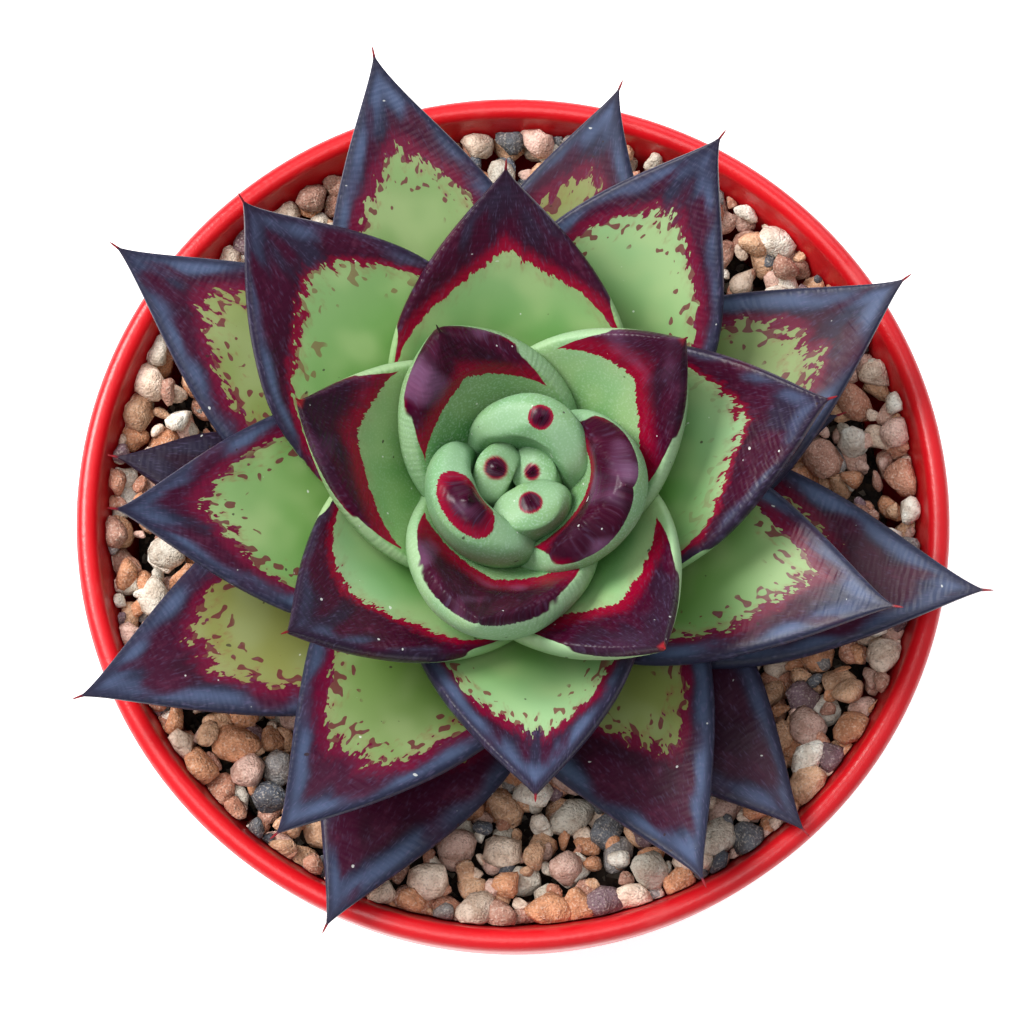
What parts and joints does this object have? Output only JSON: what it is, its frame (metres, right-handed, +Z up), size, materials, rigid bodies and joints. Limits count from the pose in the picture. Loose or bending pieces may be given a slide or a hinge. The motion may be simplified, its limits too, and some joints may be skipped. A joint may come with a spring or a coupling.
{
  "type": "potted echeveria",
  "caption": "Rosette of thick, pointed, dark-edged succulent leaves on a short stem, rooted in soil under a gravel dressing, in a round tapered plastic pot.",
  "frame": {"origin": "centre of the pot's underside, on the surface that it stands on", "axes": "+Z up along the pot's axis, +X to the right and +Y to the back as the picture sees it"},
  "size_m": [0.1436, 0.1409, 0.146],
  "materials": {
    "red_plastic": "glossy moulded",
    "potting_soil": "crumbly, matte",
    "gravel_stones": "rough, dry",
    "stem_bark": "corky",
    "leaf_skin": "smooth waxy skin"
  },
  "bodies": {
    "root": {"pot": "red_plastic", "soil": "potting_soil", "gravel": "gravel_stones", "stem": "stem_bark", "leaf_01": "leaf_skin", "leaf_02": "leaf_skin", "leaf_03": "leaf_skin", "leaf_04": "leaf_skin", "leaf_05": "leaf_skin", "leaf_06": "leaf_skin", "leaf_07": "leaf_skin", "leaf_08": "leaf_skin", "leaf_09": "leaf_skin", "leaf_10": "leaf_skin", "leaf_11": "leaf_skin", "leaf_12": "leaf_skin", "leaf_13": "leaf_skin", "leaf_14": "leaf_skin", "leaf_15": "leaf_skin", "leaf_16": "leaf_skin", "leaf_17": "leaf_skin", "leaf_18": "leaf_skin", "leaf_19": "leaf_skin", "leaf_20": "leaf_skin", "leaf_21": "leaf_skin", "leaf_22": "leaf_skin", "leaf_23": "leaf_skin", "leaf_24": "leaf_skin", "leaf_25": "leaf_skin", "leaf_26": "leaf_skin", "leaf_27": "leaf_skin", "leaf_28": "leaf_skin", "leaf_29": "leaf_skin", "leaf_30": "leaf_skin", "leaf_31": "leaf_skin", "leaf_32": "leaf_skin"}
  },
  "joints": []
}
